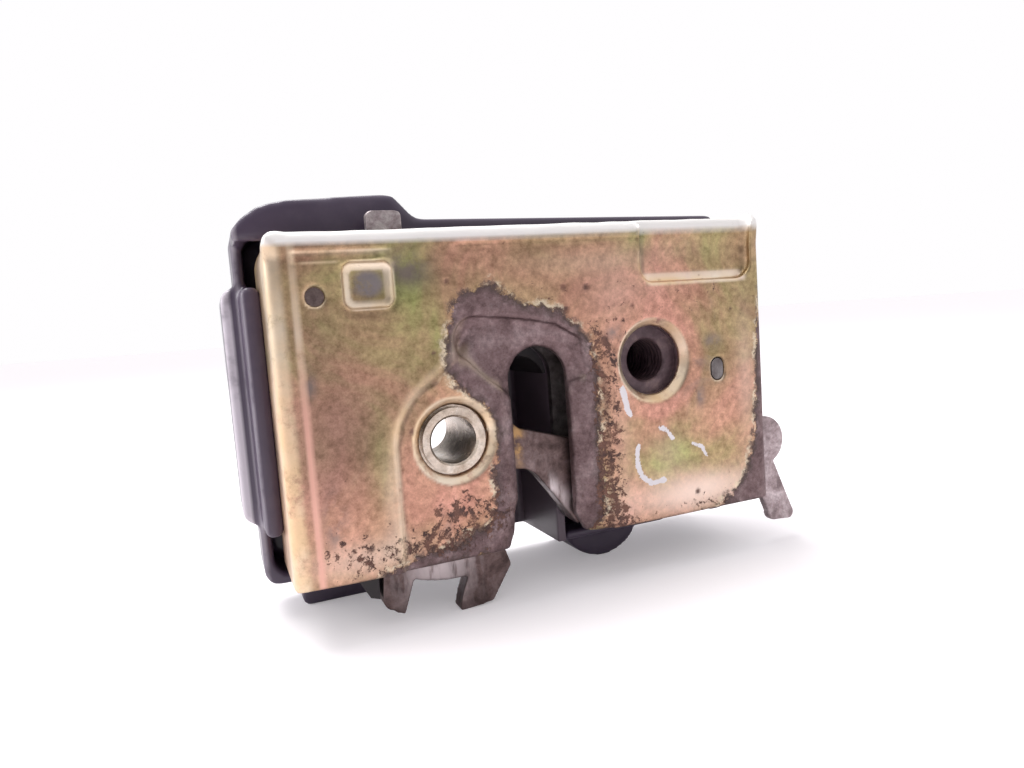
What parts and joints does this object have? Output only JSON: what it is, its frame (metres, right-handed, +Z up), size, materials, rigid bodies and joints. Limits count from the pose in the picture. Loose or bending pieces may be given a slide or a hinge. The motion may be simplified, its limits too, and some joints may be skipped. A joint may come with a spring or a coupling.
{
  "type": "car door latch",
  "caption": "Rotary car door latch: pressed steel front plate with a striker slot, pivoting claw and pawl, release lever, locking lever with a top tab, and a moulded rear cover.",
  "frame": {"origin": "on the claw's pivot axis, where the thread of its bush begins, 1.9 mm behind the front face of the latch plate, with the height of the axis as zero", "axes": "+X along the latch plate from the claw to the pawl, +Y into the door away from the front face, +Z up away from the open end of the striker slot"},
  "size_m": [0.1165, 0.038, 0.0788],
  "materials": {
    "zinc_plate": "yellow passivated zinc, iridescent, worn and rust stained",
    "inner_steel": "dull zinc, dirty",
    "bush_steel": "turned steel, rust stained",
    "claw_steel": "bare steel, brown film, polished mouth",
    "lever_steel": "plated steel, dull mauve grey",
    "tab_steel": "rough pale grey plating",
    "pin_steel": "turned steel",
    "spring_steel": "oiled spring wire",
    "cover_plastic": "dark grey moulded, satin",
    "guide_plastic": "black moulded",
    "clip_plastic": "white moulded",
    "stop_rubber": "black rubber"
  },
  "bodies": {
    "case": {"latch_plate": "zinc_plate", "inner_plate": "inner_steel", "claw_bush": "bush_steel", "pawl_bush": "bush_steel", "lever_pin": "pin_steel", "lever_clip": "spring_steel", "lock_pin": "pin_steel", "claw_stop": "stop_rubber", "buffer": "stop_rubber", "striker_guide": "guide_plastic", "striker_pad": "stop_rubber", "claw_spring": "spring_steel", "pawl_spring": "spring_steel", "bush_rings": "pin_steel", "lock_motor": "pin_steel", "rear_cover": "cover_plastic", "cover_screws": "pin_steel"},
    "claw": {"claw": "claw_steel"},
    "pawl": {"pawl": "claw_steel", "drive_pin": "pin_steel", "outside_lever": "lever_steel", "rod_clip": "clip_plastic"},
    "release_lever": {"release_lever": "lever_steel"},
    "locking_lever": {"locking_lever": "tab_steel", "link_pin": "pin_steel"},
    "lock_link": {"lock_link": "lever_steel"}
  },
  "joints": [
    {"name": "claw_turn", "type": "hinge", "parent": "case", "child": "claw", "pos_m": [0, 0.0046, 0], "axis": [0, -1, 0], "range_deg": [0, 72], "stiffness_Nm_per_rad": 0.2},
    {"name": "pawl_turn", "type": "hinge", "parent": "case", "child": "pawl", "pos_m": [0.0429, 0.0046, 0.0108], "axis": [0, -1, 0], "range_deg": [-9, 6], "stiffness_Nm_per_rad": 0.3},
    {"name": "release_turn", "type": "hinge", "parent": "case", "child": "release_lever", "pos_m": [0.06128, 0.0014, -0.00758], "axis": [0, -1, 0], "range_deg": [-6.2, 9.2]},
    {"name": "lock_turn", "type": "hinge", "parent": "case", "child": "locking_lever", "pos_m": [-0.0223, 0.006, 0.027], "axis": [0, -1, 0], "range_deg": [0, 14]},
    {"name": "link_slide", "type": "slide", "parent": "case", "child": "lock_link", "axis": [1, 0, 0], "range_m": [0, 0.00413]}
  ],
  "couplings": [
    {"joint": "release_turn", "follows": "pawl_turn", "ratio": -1},
    {"joint": "lock_turn", "follows": "link_slide", "rad_per_m": 59.172}
  ]
}
